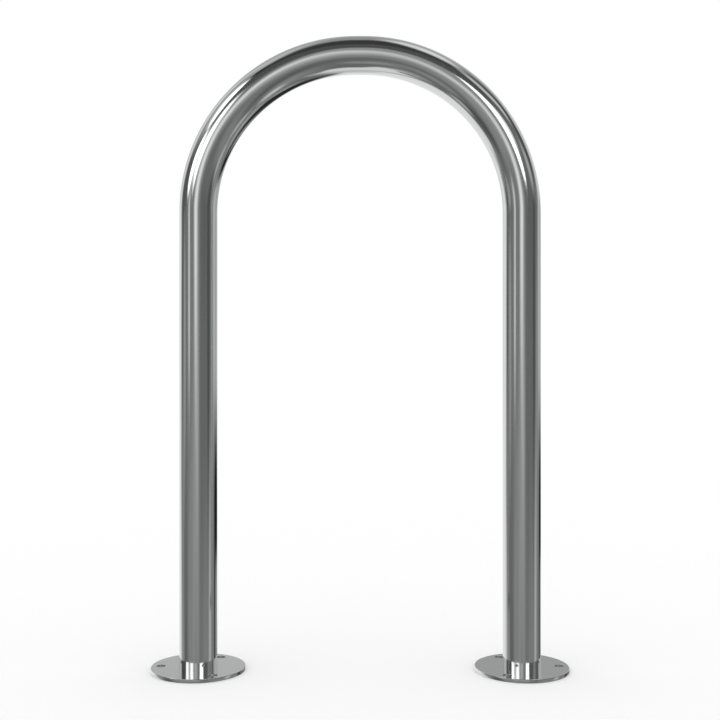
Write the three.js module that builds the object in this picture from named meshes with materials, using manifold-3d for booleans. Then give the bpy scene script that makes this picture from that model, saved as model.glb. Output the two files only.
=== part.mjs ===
// Hoop bike rack for a paved surface: one round stainless tube, bent into an upside-down U,
// with each foot seated in a round base flange and welded to it from underneath.
// Millimetres, +Z up, the hoop lies in the XZ plane.
// The origin is on the ground, midway between the two feet.

import * as THREE from "three";
import { mergeVertices } from "three/addons/utils/BufferGeometryUtils.js";
import Module from "manifold-3d";

const wasm = await Module();
wasm.setup();

// Driving dimensions of the hoop
const overallHeight = 850;
const overallWidth = 485;
const tubeDiameter = 50.8;
const tubeWall = 2;
const crownFlat = 11;

// Driving dimensions of a base flange
const flangeDiameter = 126;
const flangeThickness = 5;
const flangeEdgeBreak = 0.5;
const boltHoleDiameter = 12;
const boltHoleEdgeBreak = 0.4;
const boltEdgeDistance = 13;
const boltHoleCount = 3;

// How a foot sits in its flange
const seatClearance = 0.3;
const weldRecess = 0.5;
const cutOverrun = 2;

// How finely the round stretches are divided
const tubeSides = 36;
const bendSteps = 15;
const flangeSides = 72;
const boltHoleSides = 24;
const weldFaceSteps = 4;

// Sizes that follow from the driving dimensions
const tubeRadius = tubeDiameter / 2;
const tubeBoreRadius = tubeRadius - tubeWall;
const legX = overallWidth / 2 - tubeRadius;
const bendRadius = legX - crownFlat / 2;
const crownZ = overallHeight - tubeRadius;
const bendZ = crownZ - bendRadius;
const flangeRadius = flangeDiameter / 2;
const flangeBoreRadius = tubeRadius + seatClearance;
const boltCircleRadius = flangeRadius - boltEdgeDistance;
const boltHoleRadius = boltHoleDiameter / 2;
const weldLeg = tubeWall;
const footZ = weldRecess + weldLeg;

const fullTurn = 2 * Math.PI;
const quarterTurn = Math.PI / 2;

const polishedSteel = new THREE.MeshStandardMaterial({
  name: "polished_steel",
  color: 0xc3c5c4,
  metalness: 1,
  roughness: 0.06,
});
const weldMetal = new THREE.MeshStandardMaterial({
  name: "weld_metal",
  color: 0x9c988f,
  metalness: 1,
  roughness: 0.4,
});

// A closed geometry as a solid for cutting.
function toSolid(geometry) {
  const bare = geometry.clone();
  bare.deleteAttribute("normal");
  bare.deleteAttribute("uv");
  const merged = mergeVertices(bare);
  return new wasm.Manifold(
    new wasm.Mesh({
      numProp: 3,
      vertProperties: new Float32Array(merged.attributes.position.array),
      triVerts: new Uint32Array(merged.index.array),
    }),
  );
}

// A cut solid as a geometry again.
function toGeometry(solid) {
  const mesh = solid.getMesh();
  const geometry = new THREE.BufferGeometry();
  geometry.setAttribute(
    "position",
    new THREE.BufferAttribute(mesh.vertProperties, mesh.numProp),
  );
  geometry.setIndex(new THREE.BufferAttribute(mesh.triVerts, 1));
  geometry.computeVertexNormals();
  return geometry;
}

// A profile of [radius, height] points turned about the Z axis.
function turned(profile, sides) {
  const points = profile.map(([radius, z]) => new THREE.Vector2(radius, z));
  return new THREE.LatheGeometry(points, sides).rotateX(quarterTurn);
}

// The middle line of the tube, from the left foot over the crown to the right foot.
// Its stations stand only where the tube turns, so a straight stretch has just its two ends.
class HoopLine extends THREE.Curve {
  constructor() {
    super();
    this.stations = [];
    this.addStation(-legX, footZ, quarterTurn);
    for (const side of [-1, 1]) {
      for (let step = 0; step <= bendSteps; step++) {
        const climb = (quarterTurn * step) / bendSteps;
        const turn = side < 0 ? Math.PI - climb : quarterTurn - climb;
        const x = (side * crownFlat) / 2 + bendRadius * Math.cos(turn);
        const z = bendZ + bendRadius * Math.sin(turn);
        this.addStation(x, z, turn - quarterTurn);
      }
    }
    this.addStation(legX, footZ, -quarterTurn);
  }

  addStation(x, z, heading) {
    this.stations.push({
      point: new THREE.Vector3(x, 0, z),
      tangent: new THREE.Vector3(Math.cos(heading), 0, Math.sin(heading)),
    });
  }

  stationAt(t) {
    return this.stations[Math.round(t * (this.stations.length - 1))];
  }

  getPoint(t, target = new THREE.Vector3()) {
    return target.copy(this.stationAt(t).point);
  }

  getTangent(t, target = new THREE.Vector3()) {
    return target.copy(this.stationAt(t).tangent);
  }

  getUtoTmapping(u) {
    return u;
  }
}

// The bent tube, open at both feet.
function hoopTubeGeometry() {
  const section = new THREE.Shape().absarc(0, 0, tubeRadius, 0, fullTurn);
  section.holes.push(
    new THREE.Path().absarc(0, 0, tubeBoreRadius, 0, fullTurn),
  );
  const line = new HoopLine();
  return new THREE.ExtrudeGeometry(section, {
    extrudePath: line,
    steps: line.stations.length - 1,
    curveSegments: tubeSides / 2,
  });
}

// A turned ring with its outer edges broken, bored to take the foot of the tube.
function flangeBlankGeometry() {
  return turned(
    [
      [flangeBoreRadius, 0],
      [flangeRadius - flangeEdgeBreak, 0],
      [flangeRadius, flangeEdgeBreak],
      [flangeRadius, flangeThickness - flangeEdgeBreak],
      [flangeRadius - flangeEdgeBreak, flangeThickness],
      [flangeBoreRadius, flangeThickness],
      [flangeBoreRadius, 0],
    ],
    flangeSides,
  );
}

// What the drill and the deburring tool take away for one bolt hole, on the Z axis.
function boltHoleCutterGeometry() {
  const flaredRadius = boltHoleRadius + boltHoleEdgeBreak;
  return turned(
    [
      [0, -cutOverrun],
      [flaredRadius, -cutOverrun],
      [flaredRadius, 0],
      [boltHoleRadius, boltHoleEdgeBreak],
      [boltHoleRadius, flangeThickness - boltHoleEdgeBreak],
      [flaredRadius, flangeThickness],
      [flaredRadius, flangeThickness + cutOverrun],
      [0, flangeThickness + cutOverrun],
    ],
    boltHoleSides,
  );
}

// A flange centred on its own axis, with its first bolt hole on the outer side of the hoop.
function flangeGeometry(outward) {
  let flange = toSolid(flangeBlankGeometry());
  for (let index = 0; index < boltHoleCount; index++) {
    const angle = (fullTurn * index) / boltHoleCount;
    const cutter = boltHoleCutterGeometry().translate(
      outward * boltCircleRadius * Math.cos(angle),
      boltCircleRadius * Math.sin(angle),
      0,
    );
    flange = flange.subtract(toSolid(cutter));
  }
  return toGeometry(flange);
}

// The fillet weld in the corner between the tube's end face and the flange's bore.
// Its face bulges as an arc about that corner.
function weldGeometry() {
  const corner = [tubeRadius, footZ];
  const profile = [corner];
  for (let step = 0; step <= weldFaceSteps; step++) {
    const angle = (quarterTurn * step) / weldFaceSteps;
    profile.push([
      tubeRadius - weldLeg * Math.cos(angle),
      footZ - weldLeg * Math.sin(angle),
    ]);
  }
  profile.push(corner);
  return turned(profile, flangeSides);
}

function namedMesh(name, geometry, material) {
  const mesh = new THREE.Mesh(geometry, material);
  mesh.name = name;
  return mesh;
}

const hoopBikeRack = new THREE.Group();
hoopBikeRack.name = "hoop_bike_rack";
hoopBikeRack.add(namedMesh("hoop_tube", hoopTubeGeometry(), polishedSteel));
for (const [sideName, outward] of [
  ["left", -1],
  ["right", 1],
]) {
  const foot = new THREE.Group();
  foot.name = `${sideName}_foot`;
  foot.position.x = outward * legX;
  foot.add(
    namedMesh(`${sideName}_flange`, flangeGeometry(outward), polishedSteel),
    namedMesh(`${sideName}_weld`, weldGeometry(), weldMetal),
  );
  hoopBikeRack.add(foot);
}

export default hoopBikeRack;
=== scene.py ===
# %% [markdown]
# # A hoop bike rack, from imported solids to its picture
#
# The real rack is a cycle hoop. It is one round stainless tube, bent into an upside-down U, with
# a round base flange welded under each foot and three holes in each flange for anchor bolts.
# Every outer surface is polished until it works as a mirror.
#
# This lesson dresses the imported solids.

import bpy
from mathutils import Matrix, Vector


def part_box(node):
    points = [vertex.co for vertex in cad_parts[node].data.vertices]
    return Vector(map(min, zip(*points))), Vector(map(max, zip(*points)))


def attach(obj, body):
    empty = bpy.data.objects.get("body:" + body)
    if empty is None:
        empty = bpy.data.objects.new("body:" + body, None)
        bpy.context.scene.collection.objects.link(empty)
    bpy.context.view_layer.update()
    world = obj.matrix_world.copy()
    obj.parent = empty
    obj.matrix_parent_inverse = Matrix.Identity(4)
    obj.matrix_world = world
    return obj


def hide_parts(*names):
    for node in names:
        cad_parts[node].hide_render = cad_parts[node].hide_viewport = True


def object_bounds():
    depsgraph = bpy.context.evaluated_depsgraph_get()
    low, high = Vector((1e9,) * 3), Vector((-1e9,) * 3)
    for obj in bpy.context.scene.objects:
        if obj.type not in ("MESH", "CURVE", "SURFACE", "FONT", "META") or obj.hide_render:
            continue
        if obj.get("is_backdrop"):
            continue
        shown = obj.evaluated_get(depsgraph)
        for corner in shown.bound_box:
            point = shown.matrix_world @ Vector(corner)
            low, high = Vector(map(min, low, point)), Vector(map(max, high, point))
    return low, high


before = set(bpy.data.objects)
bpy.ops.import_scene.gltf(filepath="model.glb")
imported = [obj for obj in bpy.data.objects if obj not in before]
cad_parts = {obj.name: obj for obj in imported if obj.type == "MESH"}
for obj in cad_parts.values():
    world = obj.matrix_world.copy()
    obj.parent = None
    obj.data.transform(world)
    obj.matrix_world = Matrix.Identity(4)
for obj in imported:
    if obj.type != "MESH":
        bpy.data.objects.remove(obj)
cad_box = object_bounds()
print("solids in the frame:", ", ".join(sorted(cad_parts)))

# %% [markdown]
# ## Sizes
#
# A size that is copied by hand can drift away from its solid. The sizes that the solids show are
# therefore read from their boxes. Only those that a box can't show are written out, such as the
# wall of the tube. All lengths are in metres.
#
# One size differs on purpose. The solids keep 0.3 mm of play between the tube and the bore of its
# flange, which their checks need. The real tube sits so tight in its bore that no seam shows.

# %% Read the sizes that the solids show
import math

import bmesh
import bpy

hoop_low, hoop_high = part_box("hoop_tube")
flange_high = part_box("right_flange")[1]
tube_radius = hoop_high.y
leg_x = hoop_high.x - tube_radius
foot_z = hoop_low.z
crown_z = hoop_high.z - tube_radius
flange_radius = flange_high.y
flange_thickness = flange_high.z
print(f"tube radius {tube_radius:.4f}, legs at x = {leg_x:.4f}, crown at z = {crown_z:.4f}")
print(f"flange radius {flange_radius:.4f}, thickness {flange_thickness:.4f}")

# %% Sizes that the boxes can't show
tube_wall = 0.002
crown_flat = 0.011
seat_gap = 0.00003
bolt_hole_diameter = 0.012
bolt_edge_distance = 0.013
bolt_hole_count = 3
rim_rounding = 0.0005
hole_rounding = 0.0004
bore_rounding = 0.00003

tube_bore_radius = tube_radius - tube_wall
bend_radius = leg_x - crown_flat / 2
flange_bore_radius = tube_radius + seat_gap
bolt_hole_radius = bolt_hole_diameter / 2
bolt_circle_radius = flange_radius - bolt_edge_distance
weld_leg = tube_wall
print(f"bend radius {bend_radius:.4f}, bolt circle radius {bolt_circle_radius:.4f}")

# %% [markdown]
# ## Camera
#
# The photograph was taken level, from in front, about half a rack's height above the ground. A
# camera was fitted to the outlines of the legs, the arch and both flanges, which gave its
# distance, its height and its lens. The photograph's horizon lies a little above the middle of
# the frame, and a small vertical shift keeps the camera level while it moves the frame down.

# %% Set up the camera
camera_distance = 1.5146
camera_height = 0.4331
camera_lens_mm = 56.39
camera_shift = -0.018

camera_data = bpy.data.cameras.new("rack_camera")
camera_data.lens = camera_lens_mm
camera_data.shift_y = camera_shift
camera = bpy.data.objects.new("rack_camera", camera_data)
camera.location = (0, -camera_distance, camera_height)
camera.rotation_euler = (math.pi / 2, 0, 0)
bpy.context.scene.collection.objects.link(camera)
bpy.context.scene.camera = camera
bpy.context.scene.view_settings.view_transform = "Standard"
print(f"camera at y = {-camera_distance}, z = {camera_height}, lens {camera_lens_mm} mm")

# %% [markdown]
# ## A sheet for nodes
#
# Materials, the world and Geometry Nodes are all node trees. Two small helpers keep them
# readable. A sheet places one node at a time: settings first, then the values or wires of its
# sockets. A value wraps an output, so that ordinary sums such as 1 - mask add their Math nodes.


# %% Helpers that place nodes and do sums with them
class Value:
    """An output of a node. Sums on it add Math nodes to its sheet."""

    def __init__(self, sheet, socket):
        self.sheet = sheet
        self.socket = socket

    def maths(self, operation, *others):
        numbers = dict(enumerate((self, *others)))
        return self.sheet.place("ShaderNodeMath", {"operation": operation}, numbers)

    def beside(self, name):
        """Another output of the same node."""
        return Value(self.sheet, in_use(self.socket.node.outputs, name))

    def __add__(self, other):
        return self.maths("ADD", other)

    def __radd__(self, other):
        return self.maths("ADD", other)

    def __sub__(self, other):
        return self.maths("SUBTRACT", other)

    def __rsub__(self, other):
        return self.sheet.place("ShaderNodeMath", {"operation": "SUBTRACT"}, {0: other, 1: self})

    def __mul__(self, other):
        return self.maths("MULTIPLY", other)

    def __rmul__(self, other):
        return self.maths("MULTIPLY", other)

    def __truediv__(self, other):
        return self.maths("DIVIDE", other)

    def __pow__(self, other):
        return self.maths("POWER", other)


def in_use(sockets, key):
    """The socket of that name or number, among those that the node's settings leave in use."""
    enabled = [socket for socket in sockets if socket.enabled]
    if isinstance(key, int):
        return enabled[key]
    return next(socket for socket in enabled if socket.name == key)


class Sheet:
    """A node tree as a sheet that nodes are placed on."""

    def __init__(self, tree):
        self.tree = tree

    def place(self, kind, settings=None, inputs=None, output=0):
        """Adds a node with its settings and its inputs, and gives back one of its outputs."""
        node = self.tree.nodes.new(kind)
        for name, setting in (settings or {}).items():
            if name == "captured":
                node.capture_items.new(*setting)
            elif name == "stops":
                self.set_stops(node.color_ramp, setting)
            else:
                setattr(node, name, setting)
        for key, value in (inputs or {}).items():
            self.wire(in_use(node.inputs, key), value)
        return Value(self, in_use(node.outputs, output)) if node.outputs else None

    def wire(self, socket, value):
        if isinstance(value, list):
            for item in value:
                self.wire(socket, item)
        elif isinstance(value, Value):
            self.tree.links.new(value.socket, socket)
        else:
            socket.default_value = value

    @staticmethod
    def set_stops(ramp, stops):
        while len(ramp.elements) < len(stops):
            ramp.elements.new(1)
        for element, (position, colour) in zip(ramp.elements, stops):
            element.position = position
            element.color = (*colour, 1)


square_root = 0.5


def length_of(first, second):
    """How long two values are together, as the sides of a right-angled triangle."""
    return (first * first + second * second) ** square_root


print("helpers ready: Value, in_use, Sheet and length_of")

# %% [markdown]
# ## The studio
#
# Polished steel has hardly any look of its own: it shows what stands around it. So the studio
# matters as much as the metal. Real lamps and cards could be placed in the scene, but a rack of
# this size only sees them from far away, so each is drawn by its direction in the world instead.
#
# Each is a soft patch with a name. Azimuth 0 looks along +Y, past the rack, 90 looks along +X,
# and 180 looks back to the camera. Elevation is counted up from the horizon. Angles and half
# sizes are in degrees. A brightness of 1 is the white of the background. The edge is the share
# of the half size over which the patch fades, on either side of its outline.

# %% Say what a patch is
from collections import namedtuple

patch_fields = "name azimuth elevation half_width half_height brightness edge squareness"
Patch = namedtuple("Patch", patch_fields)
room_brightness = 0.20
sweep_white = 1.08
softbox_white = 2.60
oval = 2
print("each patch has its", ", ".join(Patch._fields))

# %% [markdown]
# The patches are painted over a dim grey room in the order of their lists, so a later one covers
# an earlier one. The floor and the ceiling come first, because all else stands in front of them.
# The crown of the hoop shows the ceiling: long lights to the left and the right, and dark over
# the camera.

# %% List the floor and the ceiling
floor_and_ceiling = [
    Patch("floor in front, left", -160, -13, 34, 11.5, 0.37, 0.6, oval),
    Patch("shade on the floor, left", -146, -14, 8, 8, 0.32, 0.8, oval),
    Patch("floor in front, right", 124, -19, 28, 10, 0.30, 0.6, oval),
    Patch("dim wall in front, right", 138, 9, 22, 6, 0.16, 0.8, oval),
    Patch("dark floor in front, right", 146, -36, 22, 8, 0.15, 0.7, oval),
    Patch("floor at the camera", -172, -56, 16, 8, 0.36, 0.6, oval),
    Patch("faint light on the floor, right", 120, -54, 30, 13, 0.33, 0.8, oval),
    Patch("faint light on the floor, left", -145, -43, 22, 7, 0.33, 0.7, oval),
    Patch("dark side on the left", -112, -30, 14, 14, 0.12, 0.6, oval),
    Patch("dark ceiling over the camera", 180, 62, 68, 26, 0.06, 0.3, 3),
    Patch("dim band under that ceiling", 178, 44, 52, 12, 0.11, 0.3, 3),
    Patch("ceiling overhead", -10, 77, 70, 16, 0.43, 0.6, oval),
    Patch("ceiling light on the left", -64, 62, 38, 11, 0.72, 0.6, oval),
    Patch("ceiling light on the right", 72, 71, 47, 12, 1.02, 0.5, oval),
    Patch("dark edge of the left ceiling", -118, 55, 13, 4, 0.03, 0.5, oval),
]
print(len(floor_and_ceiling), "patches make the floor and the ceiling")

# %% [markdown]
# Behind the rack stands a pale wall, and a white sweep of paper runs from its foot forward under
# the rack. They whiten the edges of both legs, where a mirror shows what lies behind it, and the
# underside of the bend.

# %% List the wall and the sweep
wall_and_sweep = [
    Patch("back wall, upper part", -3, 44, 60, 17, 0.55, 0.2, 4),
    Patch("back wall", 1, 17, 66, 19, 0.82, 0.2, 6),
    Patch("back wall, left end", -55, 32, 13, 24, 0.94, 0.5, oval),
    Patch("shade on the back wall, left", -15, 22, 22, 16, 0.58, 0.7, oval),
    Patch("shade on the back wall, right", 8, 15, 7, 12, 0.45, 0.6, oval),
    Patch("foot of the back wall", 38, 4, 24, 6, 0.53, 0.4, oval),
    Patch("white sweep", -27, -27, 35, 35, sweep_white, 0.1, 6),
    Patch("white sweep, left end", -58, -37, 21, 24, sweep_white, 0.35, 3),
    Patch("soft edge of the sweep, left", -66, -3, 6, 10, 0.50, 0.3, 3),
    Patch("top of that soft edge", -66, 7, 6, 4, 0.64, 0.5, oval),
    Patch("light at the sweep's left edge", -66, -13.5, 6, 5, 0.76, 0.6, oval),
    Patch("white sweep, upper edge", -12, 3, 24, 7, 0.90, 0.6, oval),
    Patch("white sweep, upper left", -53.5, 4, 8, 9, sweep_white, 0.4, 3),
    Patch("sheen at the sweep's edge", 16, -6, 7, 3, 0.42, 0.6, oval),
    Patch("shade at the sweep's lower right", -1, -53, 10, 9, 0.80, 0.6, oval),
    Patch("floor below, left", -112, -66, 30, 7, 0.42, 0.8, oval),
    Patch("floor underneath", -20, -85, 125, 20, 0.96, 0.25, oval),
]
print(len(wall_and_sweep), "patches make the wall and the sweep")

# %% [markdown]
# On the right the sweep ends in a dark corner, with a strip of light in it. It draws the thin
# dark line beside the right edge of each leg. Without such dark things a mirror looks like
# white plastic.

# %% List the dark corner beside the sweep
dark_corner = [
    Patch("dark corner beside the sweep", 34, -31, 25, 17, 0.03, 0.35, 3),
    Patch("dark corner, near side", 52, -14, 10, 8, 0.07, 0.5, oval),
    Patch("dark top of that corner", 37, -8, 20, 3.2, 0.01, 0.4, oval),
    Patch("dim floor in that corner", 34, -20, 10, 2.5, 0.16, 0.6, oval),
    Patch("faint light in that corner", 40, -14.8, 9, 4, 0.26, 0.25, 4),
    Patch("strip of light in that corner", 28.5, -13, 8, 2.6, 0.56, 0.3, 3),
    Patch("floor behind that corner", 12, -62, 14, 7, 0.72, 0.6, oval),
    Patch("floor below that corner", 54, -51, 13, 6, 0.42, 0.6, oval),
    Patch("glow beside that corner", 71, -32, 9, 16, 0.48, 0.6, oval),
]
print(len(dark_corner), "patches make the dark corner")

# %% [markdown]
# On the right stand a dark gap, a dark stand with three lamps above it, and a window whose light
# falls on the floor. A tall thing that stands still in the studio becomes a line that runs the
# whole length of a leg.

# %% List what stands on the right
right_side = [
    Patch("dark gap on the right", 80, 34, 13, 22, 0.11, 0.35, oval),
    Patch("grey gap on the right", 80, 0, 13, 14, 0.38, 0.6, oval),
    Patch("shade at the top of the gap", 88, 8, 6, 5, 0.19, 0.7, oval),
    Patch("shade at the gap's foot", 84, -17, 5, 5, 0.25, 0.6, oval),
    Patch("shade in the grey gap", 73, -10, 6, 8, 0.28, 0.6, oval),
    Patch("edge of the back wall, right", 63, 4, 8, 8, 0.66, 0.5, oval),
    Patch("dark stand on the right", 108, 4, 9.5, 12, 0.11, 0.6, oval),
    Patch("lamp on the right, low", 105, 21.5, 10, 7.5, 0.56, 0.7, oval),
    Patch("lamp on the right, middle", 99, 43, 9, 6, 0.80, 0.5, oval),
    Patch("lamp on the right, high", 111, 50, 12, 7, 0.80, 0.6, oval),
    Patch("window on the right", 96.5, -14.5, 9, 8, 0.58, 0.7, oval),
    Patch("window on the right, low", 102, -31, 9, 7, 0.58, 0.6, oval),
    Patch("window light on the floor", 101, -50, 16, 6, 0.78, 0.6, oval),
]
print(len(right_side), "patches stand on the right")

# %% [markdown]
# The glow behind the camera lies in the middle of each leg. The left side mirrors the right one
# roughly, with a dark gap between a wall above and a window below.

# %% List what stands behind the camera and on the left
behind_camera = [
    Patch("wide glow behind the camera", -175, 3, 17, 19, 0.42, 0.6, oval),
    Patch("shade on the floor below the glow", -173, -19, 11, 6, 0.31, 0.7, oval),
    Patch("glow on the floor's edge", 180, -3, 8, 5, 0.54, 0.7, oval),
    Patch("faint column over that glow", 178, 23, 12, 9, 0.42, 0.5, oval),
    Patch("glow behind the camera", -172.5, 8.5, 8.5, 8.5, 1.12, 0.85, oval),
]
left_side = [
    Patch("grey panel on the left", -95.5, 0, 12, 6.5, 0.42, 0.6, oval),
    Patch("shade at the panel's foot", -84, -7, 7, 5, 0.30, 0.7, oval),
    Patch("foot of that panel", -86, -6, 7, 5, 0.33, 0.7, oval),
    Patch("dark gap beside the panel", -80, 3.5, 7, 6, 0.11, 0.6, oval),
    Patch("upper left wall", -80, 44, 16, 14, 0.44, 0.6, oval),
    Patch("dark gap on the left", -88, 16, 17, 10, 0.13, 0.3, 3),
    Patch("floor on the left", -86, -18, 9, 7, 0.38, 0.7, oval),
    Patch("sweep's edge beside that floor", -74, -24, 8, 6, 0.95, 0.6, oval),
    Patch("window on the left, low", -98, -43, 13, 6, 0.55, 0.6, oval),
]
print(len(behind_camera) + len(left_side), "patches stand behind the camera and on the left")

# %% [markdown]
# The softboxes come last, because nothing stands in front of them. They are far brighter than
# the white background, so that the steel, which takes four tenths of the light away, still shows
# them as white. Three stand on the left and one on the right.

# %% List the softboxes
softboxes = [
    Patch("faint glow outside the bar", -146, 2, 7, 6, 0.28, 0.6, oval),
    Patch("faint glow inside the bar", -120, 1, 5, 8, 0.28, 0.5, oval),
    Patch("bar under the softboxes", -131, 5, 6, 7, 0.78, 0.5, 4),
    Patch("shine beside the softbox", -160, 16.5, 4, 5, 0.75, 0.5, oval),
    Patch("left softbox, outer", -147.5, 21, 10.5, 9.5, softbox_white, 0.3, oval),
    Patch("left softbox, inner", -118.5, 21.5, 11, 9.5, softbox_white, 0.3, oval),
    Patch("joint between the softboxes", -134, 21, 5, 7, 1.30, 0.4, oval),
    Patch("haze beside the high softbox", -98, 43.5, 13, 8.5, 0.90, 0.8, oval),
    Patch("left softbox, high", -114, 42.5, 13.5, 9, softbox_white, 0.25, oval),
    Patch("right softbox", 153, 21.5, 11, 9.5, softbox_white, 0.12, 3.5),
    Patch("arm of the right softbox", 139, 27.5, 7, 5, 1.10, 0.6, oval),
]
studio = floor_and_ceiling + wall_and_sweep + dark_corner + right_side
studio = studio + behind_camera + left_side + softboxes
print(len(softboxes), "patches make the softboxes, and", len(studio), "the whole studio")

# %% [markdown]
# A patch's mask compares the ray's direction with the middle of the patch, measured in half
# widths and half heights. A squareness of 2 adds the two as the sides of a right-angled triangle,
# which gives an oval. A higher power lets the larger of the two decide, which makes the shape
# boxier. In a world, the Generated output of Texture Coordinate is the ray's own direction.

# %% Draw a patch of light by its direction
half_turn = 180


def patch_mask(azimuth, elevation, patch):
    """1 inside the patch, 0 outside it, and a soft edge between the two."""
    aside = (azimuth - patch.azimuth).maths("WRAP", half_turn, -half_turn) / patch.half_width
    above = (elevation - patch.elevation) / patch.half_height
    if patch.squareness == oval:
        reach = length_of(aside, above)
    else:
        aside_share = aside.maths("ABSOLUTE") ** patch.squareness
        above_share = above.maths("ABSOLUTE") ** patch.squareness
        reach = (aside_share + above_share) ** (1 / patch.squareness)
    return azimuth.sheet.place(
        "ShaderNodeMapRange",
        {"interpolation_type": "SMOOTHSTEP"},
        {
            "Value": reach,
            "From Min": 1 - patch.edge,
            "From Max": 1 + patch.edge,
            "To Min": 1,
            "To Max": 0,
        },
    )


boxy = sum(patch.squareness > oval for patch in studio)
print(len(studio) - boxy, "patches are ovals and", boxy, "are boxier")

# %% Paint the patches one over the other


def studio_brightness(sheet):
    """How bright the studio is in the direction that a ray flies to."""
    direction = sheet.place("ShaderNodeTexCoord", output="Generated")
    x = sheet.place("ShaderNodeSeparateXYZ", inputs={"Vector": direction})
    azimuth = x.maths("ARCTAN2", x.beside("Y")).maths("DEGREES")
    elevation = x.beside("Z").maths("ARCSINE").maths("DEGREES")
    brightness = room_brightness
    for patch in studio:
        mask = patch_mask(azimuth, elevation, patch)
        brightness = brightness + mask * (patch.brightness - brightness)
    return brightness


brightest = max(studio, key=lambda patch: patch.brightness)
print("the brightest patch is the", brightest.name, "at", brightest.brightness)

# %% [markdown]
# The camera sees the plain white background, and only a ray that leaves a glossy surface sees the
# studio. Everything dull is lit by the plain white, all round and at strength 1, at which a colour
# renders as it is written. World rays aren't sampled as a lamp, because the polished metal finds
# every patch by its own reflections.

# %% Make the world
white = (1, 1, 1, 1)
plain_strength = 1

world = bpy.data.worlds.new("white_studio")
world.use_nodes = True
world.node_tree.nodes.clear()
world.cycles.sampling_method = "NONE"
bpy.context.scene.world = world

sky = Sheet(world.node_tree)
plain_white = sky.place("ShaderNodeBackground", inputs={"Color": white, "Strength": plain_strength})
seen_in_metal = sky.place(
    "ShaderNodeBackground",
    inputs={"Color": studio_brightness(sky), "Strength": plain_strength},
)
glossy_ray = sky.place("ShaderNodeLightPath", output="Is Glossy Ray")
whole_sky = sky.place("ShaderNodeMixShader", inputs={0: glossy_ray, 1: plain_white, 2: seen_in_metal})
sky.place("ShaderNodeOutputWorld", inputs={"Surface": whole_sky})
print("the world has", len(world.node_tree.nodes), "nodes")

# %% [markdown]
# ## The ground
#
# The rack stands on plain white paving. It is a large flat sheet, a hair below the flanges, and
# it takes the rack's soft shadow. The metal looks past the sheet and sees the studio's lower
# half there, so the sheet is hidden from glossy rays.

# %% Lay the ground
ground_half = 20.0
ground_drop = 0.0001
mm_per_metre = 1000

paving = bpy.data.materials.new("white_paving")
paving.use_nodes = True
paving.node_tree.nodes.clear()
paving_sheet = Sheet(paving.node_tree)
dull_white = paving_sheet.place("ShaderNodeBsdfDiffuse", inputs={"Color": white})
paving_sheet.place("ShaderNodeOutputMaterial", inputs={"Surface": dull_white})

ground_mesh = bpy.data.meshes.new("ground")
square = [(-1, -1), (1, -1), (1, 1), (-1, 1)]
ground_corners = [(ground_half * x, ground_half * y, -ground_drop) for x, y in square]
ground_mesh.from_pydata(ground_corners, [], [list(range(len(ground_corners)))])
ground_mesh.materials.append(paving)
ground = bpy.data.objects.new("ground", ground_mesh)
ground.visible_glossy = False
bpy.context.scene.collection.objects.link(ground)
ground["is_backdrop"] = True
print(f"ground laid, {ground_drop * mm_per_metre:.1f} mm below the flanges")

# %% [markdown]
# ## Polished steel
#
# Stainless steel reflects about six tenths of the light, a touch less of the red. A polished
# face isn't a perfect mirror. It keeps fine lines from the polishing belt, a very slight wave
# from rolling and bending, and faint smudges from hands and rain. A flat colour with a low
# roughness would look like chrome in a catalogue, so each of these three is a noise: stretched
# for the lines, wide for the waves and smudges. The layers of a noise say how much finer detail
# lies on its swells.

# %% Sizes of the lines, waves and smudges
steel_bright = (0.625, 0.640, 0.632, 1)
steel_dim = (0.600, 0.613, 0.604, 1)
mirror_roughness = 0.07
smudge_roughness = 0.05
line_roughness = 0.02
line_height = 0.0000004
wave_height = 0.00001
smudges_per_metre = 16
waves_per_metre = 11
line_layers = 3
smudge_layers = 4
wave_layers = 1
print(f"a wave is {mm_per_metre / waves_per_metre:.0f} mm long, a smudge", end=" ")
print(f"{mm_per_metre / smudges_per_metre:.0f} mm across")

# %% Helpers for noises and colours
already_stretched = 1


def noise(sheet, place_on_metal, swells_per_metre, layers):
    """A noise between 0 and 1 with so many swells in a metre."""
    return sheet.place(
        "ShaderNodeTexNoise",
        inputs={"Vector": place_on_metal, "Scale": swells_per_metre, "Detail": layers},
    )


def stretched(sheet, vector, per_metre):
    """The vector, with its own number of swells in a metre along each axis."""
    return sheet.place(
        "ShaderNodeVectorMath",
        {"operation": "MULTIPLY"},
        {0: vector, 1: per_metre},
    )


def between(sheet, share, low_colour, high_colour):
    """A colour between two others."""
    return sheet.place(
        "ShaderNodeMix",
        {"data_type": "RGBA"},
        {"Factor": share, "A": low_colour, "B": high_colour},
    )


print("helpers ready: noise, stretched and between")

# %% [markdown]
# The lines and waves are heights in metres, so the Bump node's distance stays at 1. The smudges
# are squared before they dull the metal, which leaves most of the face clean.

# %% Helpers that polish a face and make its metal


def polish(sheet, place_on_metal, lines_per_metre):
    """The colour, roughness and height of a polished face."""
    line_places = stretched(sheet, place_on_metal, lines_per_metre)
    lines = noise(sheet, line_places, already_stretched, line_layers)
    smudges = noise(sheet, place_on_metal, smudges_per_metre, smudge_layers)
    waves = noise(sheet, place_on_metal, waves_per_metre, wave_layers)
    colour = between(sheet, smudges, steel_bright, steel_dim)
    roughness = mirror_roughness + smudges * smudges * smudge_roughness + lines * line_roughness
    height = lines * line_height + waves * wave_height
    return colour, roughness, height


def finish_metal(sheet, colour, roughness, height):
    """The metal itself: one Principled BSDF with its bump."""
    normal = sheet.place("ShaderNodeBump", inputs={"Distance": 1, "Height": height})
    metal = sheet.place(
        "ShaderNodeBsdfPrincipled",
        inputs={
            "Base Color": colour,
            "Metallic": 1,
            "Roughness": roughness,
            "Normal": normal,
        },
    )
    sheet.place("ShaderNodeOutputMaterial", inputs={"Surface": metal})


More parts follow.
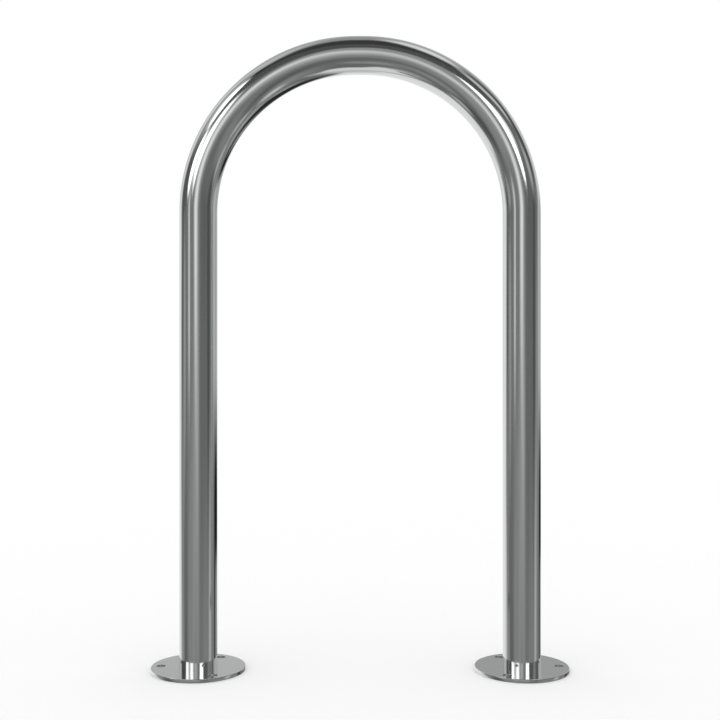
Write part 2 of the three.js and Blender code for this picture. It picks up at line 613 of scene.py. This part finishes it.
def blank_material(name):
    material = bpy.data.materials.new(name)
    material.use_nodes = True
    material.node_tree.nodes.clear()
    return material


dullest = mirror_roughness + smudge_roughness + line_roughness
print(f"polished steel is {mirror_roughness} to {dullest:.2f} rough")

# %% [markdown]
# ## The tube's finish
#
# A belt polishes a tube round and round, so its lines run around it, also round the bend. Plain
# object coordinates can't follow a bend. The tube therefore carries its own coordinates, as if
# it had been pulled straight: across the section in X and Y, and along the tube in Z.
#
# The same coordinates tell the bore from the outside, because the bore lies nearer the middle.
# Nobody polishes a bore: it stays as dull as the mill left it, with streaks along the tube.

# %% Finish the tube
straightened = "straightened"
tube_lines_per_metre = (45, 45, 2300)
bore_streaks_per_metre = (900, 900, 12)
mill_light = (0.46, 0.45, 0.44, 1)
mill_dark = (0.36, 0.35, 0.34, 1)
mill_roughness = 0.34
streak_roughness = 0.16
streak_height = 0.000002
streak_layers = 4

tube_steel = blank_material("polished_tube_steel")
tube_sheet = Sheet(tube_steel.node_tree)
on_tube = tube_sheet.place("ShaderNodeAttribute", {"attribute_name": straightened}, output="Vector")
across = tube_sheet.place("ShaderNodeSeparateXYZ", inputs={"Vector": on_tube})
from_middle = length_of(across, across.beside("Y"))
in_bore = from_middle.maths("LESS_THAN", tube_radius - tube_wall / 2)

shine = polish(tube_sheet, on_tube, tube_lines_per_metre)
streak_places = stretched(tube_sheet, on_tube, bore_streaks_per_metre)
streaks = noise(tube_sheet, streak_places, already_stretched, streak_layers)
mill_colour = between(tube_sheet, streaks, mill_dark, mill_light)
mill_rough = mill_roughness + streaks * streak_roughness
finish_metal(
    tube_sheet,
    between(tube_sheet, in_bore, shine[0], mill_colour),
    shine[1] + in_bore * (mill_rough - shine[1]),
    shine[2] + in_bore * (streaks * streak_height - shine[2]),
)
print("tube finish has", len(tube_steel.node_tree.nodes), "nodes")

# %% [markdown]
# ## The flanges' finish
#
# The flanges are cut from polished plate, so their lines run straight across the face, and their
# cut rims are polished around. The underside is left as it came, and the weld's heat has tinted
# it: straw furthest out, then brown, then blue at the bore. The tint depends only on how far a
# point lies from the middle of its foot. Both feet stand at the same distance from the hoop's
# middle, so one material with the absolute value of X serves them both.

# %% Finish the flanges
plate_lines_per_metre = (40, 2100, 40)
rim_lines_per_metre = (55, 55, 2600)
heat_reach = 0.016
heat_waver = 0.004
wavers_per_metre = 90
waver_layers = 3
heat_stops = [
    (0.0, (0.20, 0.24, 0.34)),
    (0.30, (0.30, 0.25, 0.33)),
    (0.52, (0.46, 0.31, 0.20)),
    (0.74, (0.56, 0.47, 0.32)),
    (1.0, (0.46, 0.45, 0.44)),
]
underside_roughness = 0.36

plate_steel = blank_material("polished_plate_steel")
plate_sheet = Sheet(plate_steel.node_tree)
on_plate = plate_sheet.place("ShaderNodeTexCoord", output="Object")
plate_x = plate_sheet.place("ShaderNodeSeparateXYZ", inputs={"Vector": on_plate})
from_foot = plate_x.maths("ABSOLUTE") - leg_x
from_axis = length_of(from_foot, plate_x.beside("Y"))
on_rim = from_axis.maths("GREATER_THAN", flange_radius - rim_rounding / 2)
underneath = plate_x.beside("Z").maths("LESS_THAN", rim_rounding / 2)

face = polish(plate_sheet, on_plate, plate_lines_per_metre)
rim = polish(plate_sheet, on_plate, rim_lines_per_metre)
plate_roughness = face[1] + on_rim * (rim[1] - face[1])
plate_height = face[2] + on_rim * (rim[2] - face[2])

waver = noise(plate_sheet, on_plate, wavers_per_metre, waver_layers)
heat_place = (from_axis - flange_bore_radius + waver * heat_waver) / heat_reach
heat_colour = plate_sheet.place(
    "ShaderNodeValToRGB",
    {"stops": heat_stops},
    {"Fac": heat_place},
)
finish_metal(
    plate_sheet,
    between(plate_sheet, underneath, face[0], heat_colour),
    plate_roughness + underneath * (underside_roughness - plate_roughness),
    plate_height,
)
print("flange finish has", len(plate_steel.node_tree.nodes), "nodes")

# %% [markdown]
# ## The welds' finish
#
# A weld bead on stainless steel is duller than the metal round it. It is brushed clean but keeps
# a little straw and blue, and its skin is finely wrinkled. The big ripples are in the mesh, so
# the material only adds the wrinkles and the colour.

# %% Finish the welds
bead_straw = (0.56, 0.50, 0.38, 1)
bead_blue = (0.42, 0.43, 0.48, 1)
bead_tints_per_metre = 260
bead_tint_layers = 2
bead_wrinkles_per_metre = 2400
bead_wrinkle_layers = 3
bead_roughness = 0.26
bead_roughness_spread = 0.18
bead_wrinkle_height = 0.00002

bead_steel = blank_material("weld_bead_steel")
bead_sheet = Sheet(bead_steel.node_tree)
on_bead = bead_sheet.place("ShaderNodeTexCoord", output="Object")
tint = noise(bead_sheet, on_bead, bead_tints_per_metre, bead_tint_layers)
wrinkles = noise(bead_sheet, on_bead, bead_wrinkles_per_metre, bead_wrinkle_layers)
finish_metal(
    bead_sheet,
    between(bead_sheet, tint, bead_blue, bead_straw),
    bead_roughness + wrinkles * bead_roughness_spread,
    wrinkles * bead_wrinkle_height,
)
print("weld finish has", len(bead_steel.node_tree.nodes), "nodes")

# %% [markdown]
# ## Recipes for shapes
#
# Every piece of this rack follows a rule, so each is drawn by Geometry Nodes. A recipe is one
# tree with its sizes as named inputs.

# %% Helpers that start and close a recipe
number = "NodeSocketFloat"
count = "NodeSocketInt"
finish = "NodeSocketMaterial"


def start_recipe(name, inputs):
    """An empty tree with these named inputs, and the inputs' values."""
    tree = bpy.data.node_groups.new(name, "GeometryNodeTree")
    tree.interface.new_socket("Geometry", in_out="OUTPUT", socket_type="NodeSocketGeometry")
    for label, kind in inputs.items():
        tree.interface.new_socket(label, in_out="INPUT", socket_type=kind)
    sheet = Sheet(tree)
    entry = tree.nodes.new("NodeGroupInput")
    given = {label: Value(sheet, entry.outputs[label]) for label in inputs}
    return sheet, given


def close_recipe(sheet, mesh, metal):
    """Makes the result real, gives it its material and sends it out."""
    made_real = sheet.place("GeometryNodeRealizeInstances", inputs={"Geometry": mesh})
    finished = sheet.place(
        "GeometryNodeSetMaterial",
        inputs={"Geometry": made_real, "Material": metal},
    )
    sheet.place("NodeGroupOutput", inputs={"Geometry": finished})


print("a recipe's inputs are of three kinds:", number, count, finish)

# %% [markdown]
# A polished skin must be closed and must face outwards, or the metal would reflect the wrong way.
# So each bake measures its piece: its size, its triangles, its open edges and its volume, which
# comes out negative where a skin is inside out.

# %% Helpers that bake a recipe and measure the piece
cm3_per_cubic_metre = 1000000


def measure(piece):
    """Prints a piece's size, and whether its surface is closed and faces outwards."""
    checked = bmesh.new()
    checked.from_mesh(piece.data)
    open_edges = sum(not edge.is_manifold for edge in checked.edges)
    volume = checked.calc_volume(signed=True) * cm3_per_cubic_metre
    checked.free()
    piece.data.calc_loop_triangles()
    triangles = len(piece.data.loop_triangles)
    size = " x ".join(f"{side:.4f}" for side in piece.dimensions)
    print(f"{piece.name}: {size} m, {triangles} triangles", end=", ")
    print(f"{open_edges} open edges, {volume:.2f} cubic centimetres")


def bake(name, sheet, sizes):
    """Runs a recipe with these sizes and keeps the result as a plain mesh object."""
    piece = bpy.data.objects.new(name, bpy.data.meshes.new(name + "_start"))
    bpy.context.scene.collection.objects.link(piece)
    modifier = piece.modifiers.new("recipe", "NODES")
    modifier.node_group = sheet.tree
    for socket in sheet.tree.interface.items_tree:
        if socket.in_out == "INPUT":
            modifier[socket.identifier] = sizes[socket.name]
    graph = bpy.context.evaluated_depsgraph_get()
    mesh = bpy.data.meshes.new_from_object(
        piece.evaluated_get(graph),
        preserve_all_data_layers=True,
        depsgraph=graph,
    )
    piece.modifiers.remove(modifier)
    mesh.materials.clear()
    mesh.materials.append(sizes["Metal"])
    piece.data = mesh
    mesh.name = name
    measure(piece)
    return piece


print("helpers ready: measure and bake")

# %% [markdown]
# A few shapes and steps come back in every recipe, such as a circle, a path with rounded corners
# or a move, so each gets a helper with a plain name.

# %% Helpers that draw with nodes


def point(sheet, x, y, z):
    """A place from its three numbers, which may be values."""
    return sheet.place("ShaderNodeCombineXYZ", inputs={"X": x, "Y": y, "Z": z})


def circle(sheet, radius, sides):
    return sheet.place(
        "GeometryNodeCurvePrimitiveCircle",
        inputs={"Resolution": sides, "Radius": radius},
    )


def rounded_path(sheet, corners, radius, steps):
    """An open path through four points, with its two middle corners rounded."""
    points = {f"Point {index + 1}": corner for index, corner in enumerate(corners)}
    four_sided = sheet.place("GeometryNodeCurvePrimitiveQuadrilateral", {"mode": "POINTS"}, points)
    opened = sheet.place(
        "GeometryNodeSetSplineCyclic",
        inputs={"Geometry": four_sided, "Cyclic": False},
    )
    return sheet.place(
        "GeometryNodeFilletCurve",
        {"mode": "POLY"},
        {"Curve": opened, "Radius": radius, "Count": steps},
    )


def moved(sheet, geometry, translation, rotation=(0, 0, 0)):
    return sheet.place(
        "GeometryNodeTransform",
        inputs={"Geometry": geometry, "Translation": translation, "Rotation": rotation},
    )


print("helpers ready: point, circle, rounded_path and moved")

# %% [markdown]
# Shading matters on a mirror. A round skin is smooth, and a flat face stays flat. Cycles runs
# smooth shading on over a sharp edge unless that edge is marked sharp, and a polished rim would
# then smear its reflection over the flat face beside it.

# %% Helpers that shade, turn and join skins
smooth = True
flat = False
merge_gap = 0.000002
sharp_from_degrees = 40
sharp_from = math.radians(sharp_from_degrees)


def shaded(sheet, mesh, way):
    """Smooth shading bends light over the faces, and flat shading keeps a face a flat mirror."""
    return sheet.place(
        "GeometryNodeSetShadeSmooth",
        inputs={"Geometry": mesh, "Shade Smooth": way},
    )


def flipped(sheet, mesh):
    return sheet.place("GeometryNodeFlipFaces", inputs={"Mesh": mesh})


def creased(sheet, mesh):
    """Keeps smooth shading from running over a sharp edge."""
    angle = sheet.place("GeometryNodeInputMeshEdgeAngle", output="Unsigned Angle")
    return sheet.place(
        "GeometryNodeSetShadeSmooth",
        {"domain": "EDGE"},
        {
            "Geometry": mesh,
            "Selection": angle.maths("GREATER_THAN", sharp_from),
            "Shade Smooth": False,
        },
    )


def welded(sheet, parts):
    """Joins parts into one skin by merging the points that meet."""
    together = sheet.place("GeometryNodeJoinGeometry", inputs={"Geometry": parts})
    merged = sheet.place(
        "GeometryNodeMergeByDistance",
        inputs={"Geometry": together, "Distance": merge_gap},
    )
    return creased(sheet, merged)


print(f"edges over {sharp_from_degrees} degrees stay sharp", end=", ")
print(f"and points within {merge_gap * mm_per_metre:.3f} mm of each other merge")

# %% [markdown]
# ## The hoop tube
#
# A tube bender starts from a straight line with two corners and rounds each corner to the radius
# of the bending die. The recipe does the same. It draws an upside-down U with sharp corners,
# fillets them, and sweeps two circles along the result: one for the outside and one for the
# bore. A ring closes the wall at each foot, and merging makes one closed skin.
#
# The path is divided into equal steps, because a polished tube shows every uneven facet. While
# it sweeps, the recipe notes where each point lies on the straightened tube.

# %% Write the recipe of the bent tube
tube_recipe, tube = start_recipe(
    "bent_tube",
    {
        "Leg X": number,
        "Foot Z": number,
        "Crown Z": number,
        "Bend Radius": number,
        "Bend Steps": count,
        "Stations": count,
        "Tube Radius": number,
        "Tube Sides": count,
        "Bore Radius": number,
        "Bore Sides": count,
        "Metal": finish,
    },
)

left_x = 0 - tube["Leg X"]
right_x = tube["Leg X"]
sharp_corners = [
    point(tube_recipe, left_x, 0, tube["Foot Z"]),
    point(tube_recipe, left_x, 0, tube["Crown Z"]),
    point(tube_recipe, right_x, 0, tube["Crown Z"]),
    point(tube_recipe, right_x, 0, tube["Foot Z"]),
]
bent_line = rounded_path(tube_recipe, sharp_corners, tube["Bend Radius"], tube["Bend Steps"])
even_line = tube_recipe.place(
    "GeometryNodeResampleCurve",
    {"mode": "COUNT"},
    {"Curve": bent_line, "Count": tube["Stations"]},
)
middle_line = tube_recipe.place(
    "GeometryNodeCaptureAttribute",
    {"captured": ("FLOAT", "along")},
    {
        "Geometry": even_line,
        "along": tube_recipe.place("GeometryNodeSplineParameter", output="Length"),
    },
)
whole_length = tube_recipe.place("GeometryNodeCurveLength", inputs={"Curve": even_line})
print("the middle line takes", len(tube_recipe.tree.nodes), "nodes so far")

# %% [markdown]
# A circle that is swept along the middle line becomes a wall. Each point keeps two numbers from
# before the sweep: its place on the circle and how far along the line it came. Together they are
# its place on the straightened tube, which the finish reads.

# %% Sweep the outside and the bore


def noted(sheet, mesh, place):
    """Stores where each point lies on the straightened tube."""
    return sheet.place(
        "GeometryNodeStoreNamedAttribute",
        {"data_type": "FLOAT_VECTOR"},
        {"Geometry": mesh, "Name": straightened, "Value": place},
    )


def added(sheet, first, second):
    return sheet.place("ShaderNodeVectorMath", {"operation": "ADD"}, {0: first, 1: second})


def swept_wall(sheet, radius, sides):
    """One circle of the section, swept along the middle line."""
    section = sheet.place(
        "GeometryNodeCaptureAttribute",
        {"captured": ("VECTOR", "around")},
        {
            "Geometry": circle(sheet, radius, sides),
            "around": sheet.place("GeometryNodeInputPosition"),
        },
    )
    skin = sheet.place(
        "GeometryNodeCurveToMesh",
        inputs={"Curve": middle_line, "Profile Curve": section},
    )
    along = point(sheet, 0, 0, middle_line.beside("along"))
    place = added(sheet, section.beside("around"), along)
    return noted(sheet, shaded(sheet, skin, smooth), place)


outside = swept_wall(tube_recipe, tube["Tube Radius"], tube["Tube Sides"])
bore = flipped(tube_recipe, swept_wall(tube_recipe, tube["Bore Radius"], tube["Bore Sides"]))
print("with both walls the recipe has", len(tube_recipe.tree.nodes), "nodes")

# %% [markdown]
# The wall is 2 mm thick, and at the feet one can see it. A ring between the two circles closes
# it. The same ring serves both feet. At the far foot the tube's own coordinates are mirrored, as
# they are on the walls, because the line comes down there instead of going up.

# %% Close the wall at each foot
section_outlines = [
    circle(tube_recipe, tube["Tube Radius"], tube["Tube Sides"]),
    circle(tube_recipe, tube["Bore Radius"], tube["Bore Sides"]),
]
outlines = tube_recipe.place("GeometryNodeJoinGeometry", inputs={"Geometry": section_outlines})
ring = tube_recipe.place("GeometryNodeFillCurve", inputs={"Curve": outlines})
ring = shaded(tube_recipe, flipped(tube_recipe, ring), flat)

own_place = tube_recipe.place("GeometryNodeInputPosition")
mirrored_place = stretched(tube_recipe, own_place, (-1, 1, 1))
far_place = added(tube_recipe, mirrored_place, point(tube_recipe, 0, 0, whole_length))
left_ring = moved(
    tube_recipe,
    noted(tube_recipe, ring, own_place),
    point(tube_recipe, left_x, 0, tube["Foot Z"]),
)
right_ring = moved(
    tube_recipe,
    noted(tube_recipe, ring, far_place),
    point(tube_recipe, right_x, 0, tube["Foot Z"]),
)
tube_skin = welded(tube_recipe, [outside, bore, left_ring, right_ring])
close_recipe(tube_recipe, tube_skin, tube["Metal"])
print("the tube's recipe has", len(tube_recipe.tree.nodes), "nodes")

# %% Bake the tube
tube_sides = 128
tube_bore_sides = 64
stations_along_tube = 321
steps_in_bend = 480

hoop_tube = bake(
    "hoop_tube_polished",
    tube_recipe,
    {
        "Leg X": leg_x,
        "Foot Z": foot_z,
        "Crown Z": crown_z,
        "Bend Radius": bend_radius,
        "Bend Steps": steps_in_bend,
        "Stations": stations_along_tube,
        "Tube Radius": tube_radius,
        "Tube Sides": tube_sides,
        "Bore Radius": tube_bore_radius,
        "Bore Sides": tube_bore_sides,
        "Metal": tube_steel,
    },
)

# %% [markdown]
# ## The base flanges
#
# A flange is a disc with a bore for the tube and three bolt holes. Its faces must stay perfectly
# flat, or the mirrored foot in them would wobble, and every edge is slightly rounded. So the
# recipe builds it from two kinds of skin. A band with rounded edges runs round each circle, swept
# from a small U-shaped section, and two flat caps fill the space between the bands.
#
# The bolt holes repeat, so one band is drawn and placed on every point of a ring of points.

# %% Write the recipe of a flange
flange_recipe, flange = start_recipe(
    "base_flange",
    {
        "Centre X": number,
        "Turn": number,
        "Thickness": number,
        "Disc Radius": number,
        "Disc Sides": count,
        "Disc Rounding": number,
        "Bore Radius": number,
        "Bore Sides": count,
        "Bore Rounding": number,
        "Hole Radius": number,
        "Hole Sides": count,
        "Hole Rounding": number,
        "Hole Count": count,
        "Hole Circle Radius": number,
        "Rounding Steps": count,
        "Metal": finish,
    },
)
metal_within = True
metal_around = False


def edge_band(radius, sides, rounding, metal_inside):
    """The upright wall round a circle, with its top and bottom edges rounded.

    In the section's own axes X points away from the middle of the circle, and Y points down."""
    top = 0 - flange["Thickness"]
    inset = 0 - rounding if metal_inside else rounding
    first, last = (top, 0) if metal_inside else (0, top)
    corners = [
        point(flange_recipe, inset, first, 0),
        point(flange_recipe, 0, first, 0),
        point(flange_recipe, 0, last, 0),
        point(flange_recipe, inset, last, 0),
    ]
    section = rounded_path(flange_recipe, corners, rounding, flange["Rounding Steps"])
    band = flange_recipe.place(
        "GeometryNodeCurveToMesh",
        inputs={"Curve": circle(flange_recipe, radius, sides), "Profile Curve": section},
    )
    return shaded(flange_recipe, band, smooth)


def on_bolt_circle(thing):
    """Places one thing at every bolt hole."""
    ring_of_points = flange_recipe.place(
        "GeometryNodeMeshCircle",
        inputs={"Vertices": flange["Hole Count"], "Radius": flange["Hole Circle Radius"]},
    )
    placed = flange_recipe.place(
        "GeometryNodeInstanceOnPoints",
        inputs={"Points": ring_of_points, "Instance": thing},
    )
    return flange_recipe.place("GeometryNodeRealizeInstances", inputs={"Geometry": placed})


print("a flange has", len(flange), "inputs to set")

# %% Draw the bands of a flange


def band_of(part, metal_inside):
    """The band round the disc, the bore or a hole, from the flange's own inputs."""
    sizes = [flange[f"{part} {size}"] for size in ("Radius", "Sides", "Rounding")]
    return edge_band(*sizes, metal_inside)


rim_band = band_of("Disc", metal_within)
bore_band = band_of("Bore", metal_around)
hole_band = band_of("Hole", metal_around)
print("the bands take", len(flange_recipe.tree.nodes), "nodes so far")

# %% [markdown]
# A cap is the flat space between the circles. Fill Curve finds it from their outlines, and it
# leaves the bore and the bolt holes open. The underside is the same cap, turned over.

# %% Cut the caps and join a flange
cap_outlines = [
    circle(flange_recipe, flange["Disc Radius"] - flange["Disc Rounding"], flange["Disc Sides"]),
    circle(flange_recipe, flange["Bore Radius"] + flange["Bore Rounding"], flange["Bore Sides"]),
    on_bolt_circle(
        circle(flange_recipe, flange["Hole Radius"] + flange["Hole Rounding"], flange["Hole Sides"])
    ),
]
cap_outline = flange_recipe.place("GeometryNodeJoinGeometry", inputs={"Geometry": cap_outlines})
cap = flange_recipe.place("GeometryNodeFillCurve", inputs={"Curve": cap_outline})
cap = shaded(flange_recipe, cap, flat)
top_cap = moved(flange_recipe, cap, point(flange_recipe, 0, 0, flange["Thickness"]))
bottom_cap = flipped(flange_recipe, cap)

flange_parts = [rim_band, bore_band, on_bolt_circle(hole_band), top_cap, bottom_cap]
flange_skin = welded(flange_recipe, flange_parts)
flange_in_place = moved(
    flange_recipe,
    flange_skin,
    point(flange_recipe, flange["Centre X"], 0, 0),
    point(flange_recipe, 0, 0, flange["Turn"]),
)
close_recipe(flange_recipe, flange_in_place, flange["Metal"])
print("the flange's recipe has", len(flange_recipe.tree.nodes), "nodes")

# %% Bake the two flanges
disc_sides = 192
flange_bore_sides = 128
bolt_hole_sides = 64
rounding_steps = 5

flange_sizes = {
    "Thickness": flange_thickness,
    "Disc Radius": flange_radius,
    "Disc Sides": disc_sides,
    "Disc Rounding": rim_rounding,
    "Bore Radius": flange_bore_radius,
    "Bore Sides": flange_bore_sides,
    "Bore Rounding": bore_rounding,
    "Hole Radius": bolt_hole_radius,
    "Hole Sides": bolt_hole_sides,
    "Hole Rounding": hole_rounding,
    "Hole Count": bolt_hole_count,
    "Hole Circle Radius": bolt_circle_radius,
    "Rounding Steps": rounding_steps,
    "Metal": plate_steel,
}
left_flange = bake(
    "left_flange_plate",
    flange_recipe,
    {**flange_sizes, "Centre X": -leg_x, "Turn": math.pi},
)
right_flange = bake(
    "right_flange_plate",
    flange_recipe,
    {**flange_sizes, "Centre X": leg_x, "Turn": 0.0},
)

# %% [markdown]
# ## The weld beads
#
# Under each flange a fillet weld fills the corner between the tube's end and the bore. A welder
# lays it as a row of overlapping drops, which leaves curved ripples like a fanned stack of
# coins. The recipe sweeps a quarter-round section round the corner and then presses the skin in
# between the drops. The drops bow back at their edges, because each one freezes from the sides.

# %% Write the recipe of a weld bead
bead_recipe, bead = start_recipe(
    "weld_bead",
    {
        "Centre X": number,
        "Corner Radius": number,
        "Corner Z": number,
        "Leg": number,
        "Drops": count,
        "Drop Depth": number,
        "Drop Bow": number,
        "Sides": count,
        "Section Steps": count,
        "Metal": finish,
    },
)

corner_line = bead_recipe.place(
    "GeometryNodeCaptureAttribute",
    {"captured": ("FLOAT", "around")},
    {
        "Geometry": circle(bead_recipe, bead["Corner Radius"], bead["Sides"]),
        "around": bead_recipe.place("GeometryNodeSplineParameter", output="Index") / bead["Sides"],
    },
)
quarter_round = bead_recipe.place(
    "GeometryNodeCurveArc",
    {"mode": "RADIUS"},
    {
        "Resolution": bead["Section Steps"],
        "Radius": bead["Leg"],
        "Start Angle": math.pi / 2,
        "Sweep Angle": math.pi / 2,
        "Connect Center": True,
    },
)
across_face = bead_recipe.place("GeometryNodeInputPosition")
section = bead_recipe.place(
    "GeometryNodeCaptureAttribute",
    {"captured": ("VECTOR", "in_section")},
    {"Geometry": quarter_round, "in_section": across_face},
)
bead_skin = bead_recipe.place(
    "GeometryNodeCurveToMesh",
    inputs={"Curve": corner_line, "Profile Curve": section},
)
print("the plain bead takes", len(bead_recipe.tree.nodes), "nodes so far")

# %% [markdown]
# The drops are a sine wave round the bead. Its absolute value has round crests and sharp valleys,
# as overlapping drops have. Only the rounded face is pressed in, most in its middle and not at
# all where it meets the tube and the plate.

# %% Press the ripples in
corner_to_face_share = 0.5

in_section = bead_recipe.place("ShaderNodeSeparateXYZ", inputs={"Vector": section.beside("in_section")})
outward = in_section / bead["Leg"]
downward = in_section.beside("Y") / bead["Leg"]
on_face = (outward * outward + downward * downward).maths("GREATER_THAN", corner_to_face_share)
off_middle = outward + downward
drop_place = corner_line.beside("around") * bead["Drops"] - off_middle * off_middle * bead["Drop Bow"]
crest = (drop_place * math.pi).maths("SINE").maths("ABSOLUTE")
middle_share = 1 - off_middle * off_middle
press = (1 - crest) * bead["Drop Depth"] * on_face * middle_share
skin_normal = bead_recipe.place("GeometryNodeInputNormal")
rippled = bead_recipe.place(
    "GeometryNodeSetPosition",
    inputs={
        "Geometry": bead_skin,
        "Offset": bead_recipe.place(
            "ShaderNodeVectorMath",
            {"operation": "SCALE"},
            {"Vector": skin_normal, "Scale": 0 - press},
        ),
    },
)
bead_in_place = moved(
    bead_recipe,
    creased(bead_recipe, shaded(bead_recipe, rippled, smooth)),
    point(bead_recipe, bead["Centre X"], 0, bead["Corner Z"]),
)
close_recipe(bead_recipe, bead_in_place, bead["Metal"])
print("the bead's recipe has", len(bead_recipe.tree.nodes), "nodes")

# %% Bake the two welds
drops_in_bead = 72
drop_depth = 0.00022
drop_bow_share = 0.45
bead_sides = 720
bead_section_steps = 11

bead_sizes = {
    "Corner Radius": tube_radius,
    "Corner Z": foot_z,
    "Leg": weld_leg,
    "Drops": drops_in_bead,
    "Drop Depth": drop_depth,
    "Drop Bow": drop_bow_share,
    "Sides": bead_sides,
    "Section Steps": bead_section_steps,
    "Metal": bead_steel,
}
left_bead = bake("left_weld_bead", bead_recipe, {**bead_sizes, "Centre X": -leg_x})
right_bead = bake("right_weld_bead", bead_recipe, {**bead_sizes, "Centre X": leg_x})

# %% [markdown]
# ## Hand the pieces to the frame
#
# Each piece rides on the rack's one body and stands for its solid, which is then hidden. The list
# also gives the material slot of the record that its finish belongs to, but nothing here uses it.

# %% Let every piece ride and stand for its solid
stands_for = [
    (hoop_tube, "hoop_tube", "polished_steel"),
    (left_flange, "left_flange", "polished_steel"),
    (right_flange, "right_flange", "polished_steel"),
    (left_bead, "left_weld", "weld_metal"),
    (right_bead, "right_weld", "weld_metal"),
]
for piece, node, slot in stands_for:
    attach(piece, "root")
    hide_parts(node)
    print(f"{piece.name} stands for {node}")

# %% Compare the two boxes and finish
visual_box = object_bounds()
boxes = {
    "cad_box": [list(corner) for corner in cad_box],
    "visual_box": [list(corner) for corner in visual_box],
}
for name, (low, high) in boxes.items():
    print(name, " x ".join(f"{top - bottom:.4f}" for bottom, top in zip(low, high)))
